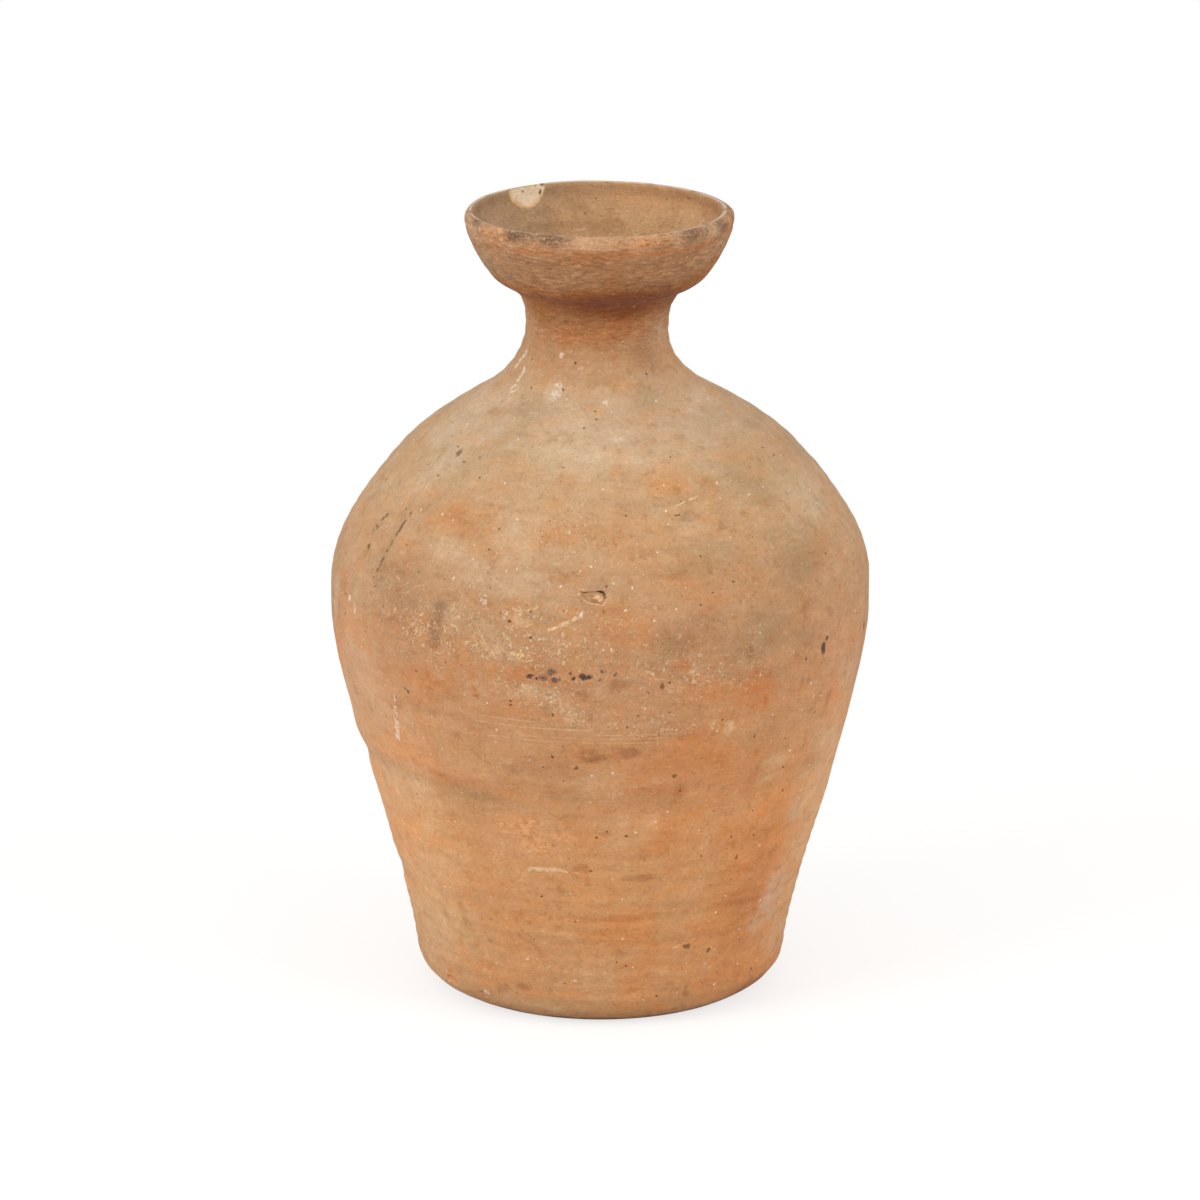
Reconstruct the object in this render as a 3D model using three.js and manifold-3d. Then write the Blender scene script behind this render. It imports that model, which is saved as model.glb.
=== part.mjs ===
// A coil-built terracotta wine jug, unglazed: nine clay sections joined with slip while leather-hard.
// Millimetres, +Z up, front along -Y, origin at the centre of the foot.
import * as THREE from 'three';
import { mergeVertices } from 'three/addons/utils/BufferGeometryUtils.js';
import Module from 'manifold-3d';

// How much height each section adds, from the ground up
const heelHeight = 18;
const lowerWallHeight = 47;
const middleWallHeight = 64;
const bellyWallHeight = 77.7;
const shoulderWallHeight = 56.3;
const shoulderCapHeight = 43;
const neckHeight = 51;
const dishHeight = 35.6;
const lipHeight = 7.4;

// Where the outline turns inside a section, measured up from that section's lower seam
const waistRise = 35.2;
const undercutRise = 10.9;
const dishSideRise = 22;
const lipBulgeRise = 3.4;

// Outside diameters, from the ground up
const footDiameter = 149.6;
const heelDiameter = 185.5;
const lowerSeamDiameter = 206.9;
const middleSeamDiameter = 242.5;
const bellyDiameter = 270.8;
const shoulderDiameter = 222.6;
const neckRootDiameter = 119.5;
const waistDiameter = 71.6;
const dishRootDiameter = 79.6;
const undercutDiameter = 108.2;
const dishSideDiameter = 123;
const lipSeamDiameter = 134.1;
const lipOverhang = 0.1; // how far the lip stands out past the dish's rim, all round

// How far the outline leans out from the vertical there, in degrees; inward is negative
const footLean = 68;
const heelLean = 7.4;
const lowerSeamLean = 15.3;
const middleSeamLean = 14.8;
const shoulderLean = -36.7;
const neckRootLean = -60.2;
const dishRootLean = 38.9;
const undercutLean = 38;
const dishSideLean = 27.8;
const lipSeamLean = 15.6;
const curvePull = 0.37; // length of a curve's handles, as a share of its chord

// The clay's thickness, and the joints between sections
const bodyWall = 8.5;
const neckWall = 7.5;
const dishWall = 6.5;
const lipWall = 5.5;
const slabThickness = 12;
const floorFillet = 9;
const lipLandWidth = 1.8; // the worn flat on top of the lip
const seamRidge = 1.6; // the lower section's rim is pared to a ridge that the next one straddles
const slipFilm = 0.3; // slip left between the two

// The hand-made lean of the axis: how far it wanders along X, and over what height
const neckDrift = -1.9;
const neckDriftReach = 24;
const seamDrift = 1;
const seamDriftReach = 26;

// Old damage: a flake off the inside of the lip, a chip off the heel, and a scar in the shoulder
const flakeAngle = 126; // degrees from +X, anticlockwise from above
const flakeWidth = 23;
const flakeDrop = 13;
const flakeDepth = 2.6;
const chipAngle = 215.5;
const chipWidth = 10;
const chipHeight = 5;
const chipDepth = 1.6;
const chipCentreHeight = 13.5;
const scarAngle = 269;
const scarWidth = 16;
const scarHeight = 6;
const scarDepth = 1.8;
const scarRise = 29; // above the belly seam

const turnSteps = 56; // facets round the vessel

// Heights of the seams
const lowerSeam = heelHeight + lowerWallHeight;
const middleSeam = lowerSeam + middleWallHeight;
const bellySeam = middleSeam + bellyWallHeight;
const shoulderSeam = bellySeam + shoulderWallHeight;
const neckSeam = shoulderSeam + shoulderCapHeight;
const dishSeam = neckSeam + neckHeight;
const lipSeam = dishSeam + dishHeight;
const totalHeight = lipSeam + lipHeight;
const mouthRadius = lipSeamDiameter / 2 + lipOverhang;
const innerLipRadius = mouthRadius - lipWall;

// The outline of the outside: each station is a point with the lean and the wall there,
// and the number of straight steps that the curve up to it is drawn with
const station = (height, diameter, lean, wall, steps) => ({
  point: new THREE.Vector2(diameter / 2, height),
  along: new THREE.Vector2(Math.sin(THREE.MathUtils.degToRad(lean)), Math.cos(THREE.MathUtils.degToRad(lean))),
  wall,
  steps,
});

const stations = [
  station(0, footDiameter, footLean, bodyWall, 0),
  station(heelHeight, heelDiameter, heelLean, bodyWall, 4),
  station(lowerSeam, lowerSeamDiameter, lowerSeamLean, bodyWall, 3),
  station(middleSeam, middleSeamDiameter, middleSeamLean, bodyWall, 3),
  station(bellySeam, bellyDiameter, 0, bodyWall, 5),
  station(shoulderSeam, shoulderDiameter, shoulderLean, bodyWall, 4),
  station(neckSeam, neckRootDiameter, neckRootLean, bodyWall, 4),
  station(neckSeam + waistRise, waistDiameter, 0, neckWall, 6),
  station(dishSeam, dishRootDiameter, dishRootLean, neckWall, 3),
  station(dishSeam + undercutRise, undercutDiameter, undercutLean, dishWall, 2),
  station(dishSeam + dishSideRise, dishSideDiameter, dishSideLean, dishWall, 2),
  station(lipSeam, lipSeamDiameter, lipSeamLean, lipWall, 2),
];

// Draws the curve between neighbouring stations, and steps each point inwards by the wall
function drawOutline() {
  const outside = [];
  const inside = [];
  stations.forEach((end, index) => {
    if (index === 0) return;
    const start = stations[index - 1];
    const handle = start.point.distanceTo(end.point) * curvePull;
    const curve = new THREE.CubicBezierCurve(
      start.point,
      start.point.clone().addScaledVector(start.along, handle),
      end.point.clone().addScaledVector(end.along, -handle),
      end.point,
    );
    for (let step = index === 1 ? 0 : 1; step <= end.steps; step += 1) {
      const share = step / end.steps;
      const point = curve.getPoint(share);
      const along = curve.getTangent(share);
      const inwards = new THREE.Vector2(-along.y, along.x);
      const wall = THREE.MathUtils.lerp(start.wall, end.wall, share);
      outside.push(point);
      inside.push(point.clone().addScaledVector(inwards, wall));
    }
  });
  return { outside, inside };
}

const { outside, inside } = drawOutline();

// The radius of a rising line at a height
function radiusAt(line, height) {
  const upper = Math.max(1, line.findIndex((point) => point.y >= height));
  const a = line[upper - 1];
  const b = line[upper];
  return THREE.MathUtils.lerp(a.x, b.x, (height - a.y) / (b.y - a.y));
}

// The stretch of a rising line between two heights, with its two ends cut there
function stretch(line, low, high) {
  const shortest = slipFilm;
  const middle = line.filter((point) => point.y > low + shortest && point.y < high - shortest);
  return [
    new THREE.Vector2(radiusAt(line, low), low),
    ...middle,
    new THREE.Vector2(radiusAt(line, high), high),
  ];
}

// The top of the ridge on a seam, midway through the wall
function ridgeAt(height, lift) {
  const middle = (radiusAt(outside, height) + radiusAt(inside, height)) / 2;
  return new THREE.Vector2(middle, height + lift + seamRidge);
}

// The axis wanders sideways where the neck was set on and where the foot half was joined
function wander(height) {
  const neck = neckDrift * Math.exp(-(((height - neckSeam) / neckDriftReach) ** 2));
  const seam = seamDrift * Math.exp(-(((height - middleSeam + seamDriftReach / 2) / seamDriftReach) ** 2));
  return neck + seam;
}

// Turns a closed profile, anticlockwise with the radius to the right, into a solid ring
function turn(profile) {
  const geometry = new THREE.LatheGeometry(profile, turnSteps).rotateX(Math.PI / 2);
  const place = geometry.getAttribute('position');
  for (let index = 0; index < place.count; index += 1) {
    place.setX(index, place.getX(index) + wander(place.getZ(index)));
  }
  return geometry;
}

// One band of wall between two seams: it straddles the ridge below and carries the ridge above
function wallBand(low, high) {
  const bottom = low + slipFilm;
  const profile = [
    ridgeAt(low, slipFilm),
    ...stretch(outside, bottom, high),
    ridgeAt(high, 0),
    ...stretch(inside, bottom, high).reverse(),
    ridgeAt(low, slipFilm),
  ];
  return turn(profile);
}

// The slab is a disc whose edge was beaten up into the heel, rounded inside where floor meets wall
function slab() {
  const innerHeel = radiusAt(inside, heelHeight);
  const floorEdge = new THREE.Vector2(innerHeel - floorFillet, slabThickness);
  const corner = new THREE.Vector2(innerHeel, slabThickness);
  const wallFoot = new THREE.Vector2(innerHeel, heelHeight);
  const fillet = new THREE.QuadraticBezierCurve(wallFoot, corner, floorEdge).getPoints(3);
  return turn([
    new THREE.Vector2(0, 0),
    ...stretch(outside, 0, heelHeight),
    ridgeAt(heelHeight, 0),
    ...fillet,
    new THREE.Vector2(0, slabThickness),
  ]);
}

// The lip is a coil rolled round over the dish's rim, worn flat on top
function lip() {
  const bottom = lipSeam + slipFilm;
  const landMiddle = mouthRadius - lipWall / 2;
  const bulge = new THREE.Vector2(mouthRadius, lipSeam + lipBulgeRise);
  const landOuter = new THREE.Vector2(landMiddle + lipLandWidth / 2, totalHeight);
  const landInner = new THREE.Vector2(landMiddle - lipLandWidth / 2, totalHeight);
  const innerShoulder = new THREE.Vector2(innerLipRadius, lipSeam + lipBulgeRise);
  const outerRound = new THREE.QuadraticBezierCurve(bulge, new THREE.Vector2(bulge.x, totalHeight), landOuter);
  const innerRound = new THREE.QuadraticBezierCurve(
    landInner,
    new THREE.Vector2(innerLipRadius, totalHeight),
    innerShoulder,
  );
  return turn([
    ridgeAt(lipSeam, slipFilm),
    new THREE.Vector2(radiusAt(outside, lipSeam), bottom),
    ...outerRound.getPoints(3),
    ...innerRound.getPoints(3),
    new THREE.Vector2(radiusAt(inside, lipSeam), bottom),
    ridgeAt(lipSeam, slipFilm),
  ]);
}

// Library for cutting solids
const wasm = await Module();
wasm.setup();

function toSolid(geometry) {
  const plain = geometry.clone();
  plain.deleteAttribute('normal');
  plain.deleteAttribute('uv');
  const merged = mergeVertices(plain, 1e-3);
  const mesh = new wasm.Mesh({
    numProp: 3,
    vertProperties: new Float32Array(merged.getAttribute('position').array),
    triVerts: new Uint32Array(dropSlivers(merged.index.array)),
  });
  mesh.merge();
  return new wasm.Manifold(mesh);
}

// Leaves out the triangles that shrink to a line where a profile meets the axis
function dropSlivers(corners) {
  const kept = [];
  for (let index = 0; index < corners.length; index += 3) {
    const [a, b, c] = corners.slice(index, index + 3);
    if (a !== b && b !== c && c !== a) kept.push(a, b, c);
  }
  return kept;
}

function cutAway(geometry, tool) {
  const { vertProperties, triVerts } = toSolid(geometry).subtract(toSolid(tool)).getMesh();
  const result = new THREE.BufferGeometry();
  result.setAttribute('position', new THREE.BufferAttribute(vertProperties, 3));
  result.setIndex(new THREE.BufferAttribute(triVerts, 1));
  const flat = result.toNonIndexed();
  flat.computeVertexNormals();
  return flat;
}

// A rounded lump with the given half sizes across, deep and tall, tilted outwards at the top,
// and carried out from the axis to a radius, a height and an angle
function lump(across, deep, tall, tilt, radius, height, angle) {
  return new THREE.IcosahedronGeometry(1, 3)
    .scale(deep, across, tall)
    .rotateY(THREE.MathUtils.degToRad(tilt))
    .translate(radius, 0, height)
    .rotateZ(THREE.MathUtils.degToRad(angle))
    .translate(wander(height), 0, 0);
}

// The flake runs down the inside of the dish from the lip's inner edge
const flakeFootRadius = radiusAt(inside, totalHeight - flakeDrop);
const flakeTilt = THREE.MathUtils.radToDeg(Math.atan2(innerLipRadius - flakeFootRadius, flakeDrop));
const flake = lump(
  flakeWidth / 2,
  flakeDepth,
  flakeDrop,
  flakeTilt,
  innerLipRadius,
  totalHeight,
  flakeAngle,
);
const chip = lump(
  chipWidth / 2,
  chipDepth,
  chipHeight / 2,
  heelLean,
  radiusAt(outside, chipCentreHeight),
  chipCentreHeight,
  chipAngle,
);

const scarCentreHeight = bellySeam + scarRise;
const scarFall = radiusAt(outside, scarCentreHeight - scarHeight) - radiusAt(outside, scarCentreHeight + scarHeight);
const scar = lump(
  scarWidth / 2,
  scarDepth,
  scarHeight / 2,
  -THREE.MathUtils.radToDeg(Math.atan2(scarFall, 2 * scarHeight)),
  radiusAt(outside, scarCentreHeight),
  scarCentreHeight,
  scarAngle,
);

const geometries = {
  base_slab: cutAway(slab(), chip),
  lower_wall: wallBand(heelHeight, lowerSeam),
  middle_wall: wallBand(lowerSeam, middleSeam),
  belly_wall: wallBand(middleSeam, bellySeam),
  shoulder_wall: cutAway(wallBand(bellySeam, shoulderSeam), scar),
  shoulder_cap: wallBand(shoulderSeam, neckSeam),
  neck: wallBand(neckSeam, dishSeam),
  mouth_dish: cutAway(wallBand(dishSeam, lipSeam), flake),
  lip_coil: cutAway(lip(), flake),
};

// Fired clay, browner towards the mouth
const clayColours = {
  base_slab: 0xc48e5c,
  lower_wall: 0xcd9664,
  middle_wall: 0xc68f61,
  belly_wall: 0xbe8c64,
  shoulder_wall: 0xc49a70,
  shoulder_cap: 0xc39c72,
  neck: 0xb07c50,
  mouth_dish: 0xa97d55,
  lip_coil: 0x9c7352,
};

const jug = new THREE.Group();
for (const [name, geometry] of Object.entries(geometries)) {
  const clay = new THREE.MeshStandardMaterial({ color: clayColours[name], roughness: 0.9, metalness: 0 });
  const section = new THREE.Mesh(geometry, clay);
  section.name = name;
  jug.add(section);
}

export default jug;
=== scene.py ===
# The looks of a coil-built terracotta wine jug. Metres; front along -Y, up +Z, foot's centre at 0, 0, 0
import math
from functools import reduce
import bpy
import numpy as np
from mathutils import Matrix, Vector
from mathutils.geometry import interpolate_bezier


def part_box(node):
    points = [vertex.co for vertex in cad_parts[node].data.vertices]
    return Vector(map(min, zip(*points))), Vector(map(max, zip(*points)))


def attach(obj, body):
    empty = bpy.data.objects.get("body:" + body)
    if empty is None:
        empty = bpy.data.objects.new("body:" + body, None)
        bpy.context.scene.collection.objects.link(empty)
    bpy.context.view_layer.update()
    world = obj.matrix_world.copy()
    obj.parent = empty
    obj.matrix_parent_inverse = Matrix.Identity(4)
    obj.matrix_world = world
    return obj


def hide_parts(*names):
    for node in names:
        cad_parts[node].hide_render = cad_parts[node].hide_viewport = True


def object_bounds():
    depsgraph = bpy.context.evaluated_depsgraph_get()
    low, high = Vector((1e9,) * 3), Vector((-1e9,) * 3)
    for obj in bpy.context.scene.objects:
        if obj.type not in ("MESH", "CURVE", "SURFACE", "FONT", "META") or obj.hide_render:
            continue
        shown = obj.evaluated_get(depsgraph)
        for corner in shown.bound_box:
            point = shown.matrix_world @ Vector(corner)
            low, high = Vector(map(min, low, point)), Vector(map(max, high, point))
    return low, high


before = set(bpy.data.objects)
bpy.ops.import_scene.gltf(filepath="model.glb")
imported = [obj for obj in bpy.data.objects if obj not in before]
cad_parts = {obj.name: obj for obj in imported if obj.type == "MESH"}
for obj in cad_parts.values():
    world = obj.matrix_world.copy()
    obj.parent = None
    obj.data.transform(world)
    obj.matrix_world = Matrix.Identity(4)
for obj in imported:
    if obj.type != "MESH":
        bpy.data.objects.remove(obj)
cadBox = [list(corner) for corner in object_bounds()]
mm = 0.001


def aimAt(thing, height):
    # turns a camera or a lamp towards the axis at this height
    thing.rotation_euler = (Vector((0, 0, height)) - thing.location).to_track_quat("-Z", "Y").to_euler()


def placed(name, data):
    thing = bpy.data.objects.new(name, data)
    bpy.context.scene.collection.objects.link(thing)
    return thing


print("stage: camera")
camera = {  # metres, and the lens and sensor in mm
    "distance": 3.79, "height": 1.27572, "aimHeight": 0.19742, "lens": 234.69, "sensor": 36,
    "farClip": 30}
cameraData = bpy.data.cameras.new("cameraEye")
cameraData.lens = camera["lens"]
cameraData.sensor_width = camera["sensor"]
cameraData.clip_end = camera["farClip"]
eye = placed("cameraEye", cameraData)
eye.location = (0, -camera["distance"], camera["height"])
aimAt(eye, camera["aimHeight"])
bpy.context.scene.camera = eye

print("stage: outline")
# the clay sections from the ground up, and the seams between them, as the frame has them
sections = ["base_slab", "lower_wall", "middle_wall", "belly_wall", "shoulder_wall", "shoulder_cap",
            "neck", "mouth_dish", "lip_coil"]
slipFilm = 0.0003  # slip between two sections, in metres
touching = 1e-5  # points closer than this, in metres, are one
seams = [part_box(name)[0].z - slipFilm for name in sections[1:]]
heel, lowSeam, midSeam, bellySeam, shoulderSeam, neckSeam, dishSeam, lipSeam = seams
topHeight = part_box("lip_coil")[1].z

jug = {  # mm; a place has its radius, how far the outline leans out there in degrees, and its rise
    "foot": (74.8, 68, 0), "heel": (92.75, 7.4, 0), "lowSeam": (103.45, 15.3, 0),
    "midSeam": (121.25, 14.8, 0), "belly": (135.4, 0, 0), "shoulder": (111.3, -36.7, 0),
    "neckRoot": (59.75, -60.2, 0), "waist": (35.8, 0, 35.2), "dishRoot": (39.8, 38.9, 0),
    "undercut": (54.1, 38, 10.9), "dishSide": (61.5, 27.8, 22), "lipSeam": (67.05, 15.6, 0),
    "lipBulge": (67.15, 0, 3.4), "lipTurn": (65.7, -55, 6.6), "lipCrown": (64.1, -89, 0),
    "lipEdge": (62.5, -108, 7.1), "lipInside": (61.5, -175, 5.6),
    "bodyWall": 8.5, "neckWall": 7.5, "dishWall": 6.5, "lipWall": 5.5, "slab": 12, "floorFillet": 9,
    "curvePull": 0.37, "outerStep": 1.3, "innerStep": 3.5, "dishInnerStep": 1.4, "floorStep": 6,
    "turns": 560, "fineFrom": 30, "fineTo": 3, "seamClearance": 0.5, "filletSteps": 6, "footMargin": 2,
}


def station(name, level, wall):
    # a place of the outline above this level, the outline's direction and the wall there
    radius, lean, rise = jug[name]
    along = Vector((math.sin(math.radians(lean)), 0, math.cos(math.radians(lean))))
    return {"point": Vector((radius * mm, 0, level + rise * mm)), "along": along, "wall": jug[wall] * mm}


outerStations = [station(*place) for place in (
    ("foot", 0, "bodyWall"), ("heel", heel, "bodyWall"),
    ("lowSeam", lowSeam, "bodyWall"), ("midSeam", midSeam, "bodyWall"),
    ("belly", bellySeam, "bodyWall"), ("shoulder", shoulderSeam, "bodyWall"),
    ("neckRoot", neckSeam, "bodyWall"), ("waist", neckSeam, "neckWall"),
    ("dishRoot", dishSeam, "neckWall"), ("undercut", dishSeam, "dishWall"),
    ("dishSide", dishSeam, "dishWall"), ("lipSeam", lipSeam, "lipWall"))]
lipStations = [station(*place) for place in (
    ("lipSeam", lipSeam, "lipWall"), ("lipBulge", lipSeam, "lipWall"),
    ("lipTurn", lipSeam, "lipWall"), ("lipCrown", topHeight, "lipWall"),
    ("lipEdge", lipSeam, "lipWall"), ("lipInside", lipSeam, "lipWall"))]


def curveThrough(stations, step):
    # points along the chain of curves, and the wall's thickness at each
    points, walls = [stations[0]["point"].copy()], [stations[0]["wall"]]
    for start, end in zip(stations, stations[1:]):
        chord = (end["point"] - start["point"]).length
        handle = chord * jug["curvePull"]
        count = max(3, round(chord / step))
        line = interpolate_bezier(start["point"], start["point"] + start["along"] * handle,
                                  end["point"] - end["along"] * handle, end["point"], count + 1)
        for index in range(1, count + 1):
            share = index / count
            points.append(line[index])
            walls.append(start["wall"] * (1 - share) + end["wall"] * share)
    return np.array([(p.x, p.z) for p in points]), np.array(walls)


outerLine, outerWalls = curveThrough(outerStations, jug["outerStep"] * mm)
lipLine = curveThrough(lipStations, jug["outerStep"] * mm / 2)[0]
slope = np.gradient(outerLine, axis=0)
slope /= np.linalg.norm(slope, axis=1)[:, None]
innerLine = outerLine + np.stack([-slope[:, 1], slope[:, 0]], 1) * outerWalls[:, None]


def outerRadius(height):
    return np.interp(height, outerLine[:, 1], outerLine[:, 0])


def innerRadius(height):
    return np.interp(height, innerLine[:, 1], innerLine[:, 0])


# the inside, down from the lip to the floor's rounded corner, with a ring on every seam
fineFrom = neckSeam + jug["fineFrom"] * mm
stepsDown = list(np.arange(heel, fineFrom, jug["innerStep"] * mm))
stepsDown += list(np.arange(fineFrom, lipSeam + jug["fineTo"] * mm, jug["dishInnerStep"] * mm))
stepsDown = [height for height in stepsDown
             if min(abs(height - seam) for seam in seams) > jug["seamClearance"] * mm]
innerHeights = sorted(set(stepsDown + seams), reverse=True)
insideDown = [(innerRadius(height), height) for height in innerHeights]
innerHeel = innerRadius(heel)
slabTop = jug["slab"] * mm
fillet = jug["floorFillet"] * mm
corner = [(innerHeel - fillet * (1 - math.cos(turn)), heel - (heel - slabTop) * math.sin(turn))
          for turn in np.linspace(0, math.pi / 2, jug["filletSteps"] + 1)[1:]]
floorRings = np.arange(innerHeel - fillet, 0, -jug["floorStep"] * mm)[1:]
floorIn = [(radius, slabTop) for radius in floorRings] + [(0, slabTop)]
underRings = np.arange(jug["floorStep"], jug["foot"][0] - jug["footMargin"], jug["floorStep"]) * mm
footRings = [(0, 0)] + [(radius, 0) for radius in underRings]
outlineRings = [tuple(point) for point in [*outerLine, *lipLine[1:]]]
profile = footRings + outlineRings + insideDown + corner + floorIn


def editMode(wanted):
    bpy.ops.object.mode_set(mode="EDIT" if wanted else "OBJECT")


def selectOnly(thing):
    bpy.ops.object.select_all(action="DESELECT")
    thing.select_set(True)
    bpy.context.view_layer.objects.active = thing


print("stage: turning the skin,", len(profile), "rings")
skinMesh = bpy.data.meshes.new("skin")
skinMesh.from_pydata([(radius, 0, height) for radius, height in profile],
                     [(index, index + 1) for index in range(len(profile) - 1)], [])
skin = placed("skin", skinMesh)
selectOnly(skin)
turning = skin.modifiers.new("turning", "SCREW")
turning.steps = turning.render_steps = jug["turns"]
turning.use_merge_vertices = True
turning.merge_threshold = touching
bpy.ops.object.modifier_apply(modifier="turning")
editMode(True)
bpy.ops.mesh.select_all(action="SELECT")
bpy.ops.mesh.remove_doubles(threshold=touching)
bpy.ops.mesh.normals_make_consistent(inside=False)
bpy.ops.mesh.select_all(action="DESELECT")
editMode(False)

# damage: angle from the front in degrees (right is positive), then height, width, drop and depth in mm
damage = {
    "flake": {"place": (216, 400, 23, 13), "depth": 2.4},
    "chip": {"place": (-54.5, 13.5, 10, 5.5), "depth": 1.5},
    "scar": {"place": (-1.5, 234.8, 14, 6.4), "depth": 1.5},
}
fineFaces = {"across": 1.5, "along": 1.95, "cuts": 2}  # reach in halves of the damage's width and drop


def read(items, name, width=1, kind=float):
    # one property of all the items, as an array
    values = np.zeros(len(items) * width, kind)
    items.foreach_get(name, values)
    return values.reshape(-1, width) if width > 1 else values


def keep(name, kind, values, domain="POINT"):
    # a new attribute of the skin
    attribute = skin.data.attributes.new(name, kind, domain)
    attribute.data.foreach_set("vector" if kind == "FLOAT_VECTOR" else "value", values.ravel())


def polar(mesh):
    # every vertex's place, its angle from the front in degrees, its radius and its height
    place = read(mesh.vertices, "co", 3)
    angle = np.degrees(np.arctan2(place[:, 0], -place[:, 1]))
    return place, angle, np.hypot(place[:, 0], place[:, 1]), place[:, 2]


def turnFrom(angle, middle):
    # the angle between, the short way round
    return (angle - middle + 180) % 360 - 180


def offsets(points, middle, level, width, drop):
    # how far round and how far up from a spot each point lies, in halves of the spot's width and drop
    angle, radius, height = points[1:]
    across = np.radians(turnFrom(angle, middle)) * radius / (width * mm / 2)
    return across, (height - level * mm) / (drop * mm / 2)


for spot in damage.values():  # finer faces round each, so that its edges come out sharp
    across, along = offsets(polar(skin.data), *spot["place"])
    near = (np.abs(across) < fineFaces["across"]) & (np.abs(along) < fineFaces["along"])
    skin.data.vertices.foreach_set("select", near)
    editMode(True)
    bpy.ops.mesh.select_mode(type="VERT")
    bpy.ops.mesh.subdivide(number_cuts=fineFaces["cuts"])
    bpy.ops.mesh.select_all(action="DESELECT")
    editMode(False)

# where each face and vertex belongs, kept before the clay is pushed about
faceSection = np.searchsorted(seams, read(skin.data.polygons, "center", 3)[:, 2]).astype(np.int32)
keep("section", "INT", faceSection, "FACE")
points = polar(skin.data)
places, angles, radii, heights = points
keep("height", "FLOAT", heights)
wallShare = (radii - innerRadius(heights)) / (outerRadius(heights) - innerRadius(heights))
# 1 on the outer skin, 0 on the inner
outside = np.where(heights < slabTop, 1.0, np.clip(wallShare, 0, 1))

print("stage: pushing the clay,", len(places), "points")
warp = {  # mm unless said; drift pairs a height with how far the axis has wandered to the right there
    "drift": [(0, 0.4), (40, 0.2), (70, 0.4), (90, 1.0), (116, 1.1), (135, 0.5), (165, 0.1), (240, 0.3),
              (270, 0.4), (285, 0), (300, -0.4), (312, -1.4), (321, -2.2), (328, -2.0), (340, -1.3),
              (350, -1.2), (360, -0.5), (400, -0.35)],
    "driftSmoothing": 9, "mouthShift": -1.0, "mouthReach": 20, "footReach": 4,
    "lipWave": 0.35, "backDrop": 0.8, "lipWaveFrom": 1, "lipWaveReach": 5,
    "ovality": 0.4, "ovalAngle": 70, "ovalReach": 120,
    "ringDepth": 0.16, "ringPitch": 7.3, "ringSwing": 2.2, "ringDrift": 40, "ringFading": 23,
    "fingerDepth": 0.9, "fingerPitch": 16, "fingersFrom": 20, "fingersTo": 20, "fingersFade": 30,
    "grooveDepth": 0.45, "grooveRise": 0.2, "grooveReach": 1.1,
    "lumps": 1.3, "lumpSize": 48, "dimples": 0.5, "dimpleSize": 15, "grit": 0.12, "gritSize": 3.0,
    "boxSoftness": 0.7,
}
cutShape = {  # shares of the depth, and places in halves of the cut's drop
    "roundness": 0.45, "middle": 0.8, "steeper": 0.35, "least": 0.4, "most": 1.2,
    "ridge": 0.5, "ridgeWidth": 0.8, "ridgeBelow": -1.35, "ridgeReach": 0.4,
}


def bump(value, middle, reach):
    return np.exp(-((value - middle) / reach) ** 2)


def rising(value, start, reach):
    # 0 up to start, 1 from there on by the reach in mm
    return np.clip((value - start) / (reach * mm), 0, 1)


def wander(height):
    levels = np.arange(-20, 421)
    line = np.interp(levels, *zip(*warp["drift"]))
    window = np.hanning(2 * warp["driftSmoothing"] + 1)
    return np.interp(height, levels * mm, np.convolve(line, window / window.sum(), "same")) * mm


turned = np.radians(angles)
outwards = np.stack([np.sin(turned), -np.cos(turned)], 1)
oval = np.cos(2 * np.radians(angles - warp["ovalAngle"]))
oval *= bump(heights, bellySeam, warp["ovalReach"] * mm)
rings = np.sin(2 * math.pi * heights / (warp["ringPitch"] * mm) + warp["ringSwing"] * np.sin(turned)
               + warp["ringDrift"] * heights)
throwing = rings * outside * (0.5 + 0.5 * np.sin(heights * warp["ringFading"] + 1))
finger = np.clip(np.sin(2 * math.pi * heights / (warp["fingerPitch"] * mm) + turned), -0.3, 1)
fingers = finger * (1 - outside) * rising(heights, heel, warp["fingersFrom"])
fingers *= np.clip((dishSeam - warp["fingersTo"] * mm - heights) / (warp["fingersFade"] * mm), 0.15, 1)
push = warp["ovality"] * mm * oval + warp["ringDepth"] * mm * throwing
push -= warp["fingerDepth"] * mm * fingers

dents = [  # angle and height, depth in mm, reach round in degrees and reach up in mm
    (0, 335, -0.4, 900, 13), (-88, 124, -1.3, 38, 7), (-86, 61.5, -1.2, 36, 7), (-80, 136, 0.6, 40, 8),
    (92, 270, -0.9, 24, 6), (60, 118, -0.5, 50, 10), (10, 128, -0.35, 70, 4), (0, 62.5, -0.35, 80, 4),
    (-60, 306, 0.7, 40, 9), (70, 309, -0.6, 40, 6), (0, 359, -0.5, 200, 3.5), (-30, 6, -0.8, 18, 7),
    (35, 5, -0.6, 16, 7),
]
for middle, level, depth, reachRound, reachUp in dents:
    dent = bump(turnFrom(angles, middle), 0, reachRound) * bump(heights, level * mm, reachUp * mm)
    push += depth * mm * outside * dent
groove = bump(heights, lipSeam + warp["grooveRise"] * mm, warp["grooveReach"] * mm)  # under the lip
push -= warp["grooveDepth"] * mm * outside * groove

for name in ("chip", "scar"):
    across, along = offsets(points, *damage[name]["place"])
    bowl = np.clip(1 - across ** 2 - along ** 2, 0, 1) ** cutShape["roundness"]
    deeper = np.clip(cutShape["middle"] + cutShape["steeper"] * along, cutShape["least"], cutShape["most"])
    push -= damage[name]["depth"] * mm * outside * bowl * deeper
# clay dragged up below the scar, which comes last
ridge = bump(across, 0, cutShape["ridgeWidth"])
ridge *= bump(along, cutShape["ridgeBelow"], cutShape["ridgeReach"])
push += cutShape["ridge"] * mm * outside * ridge

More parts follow.
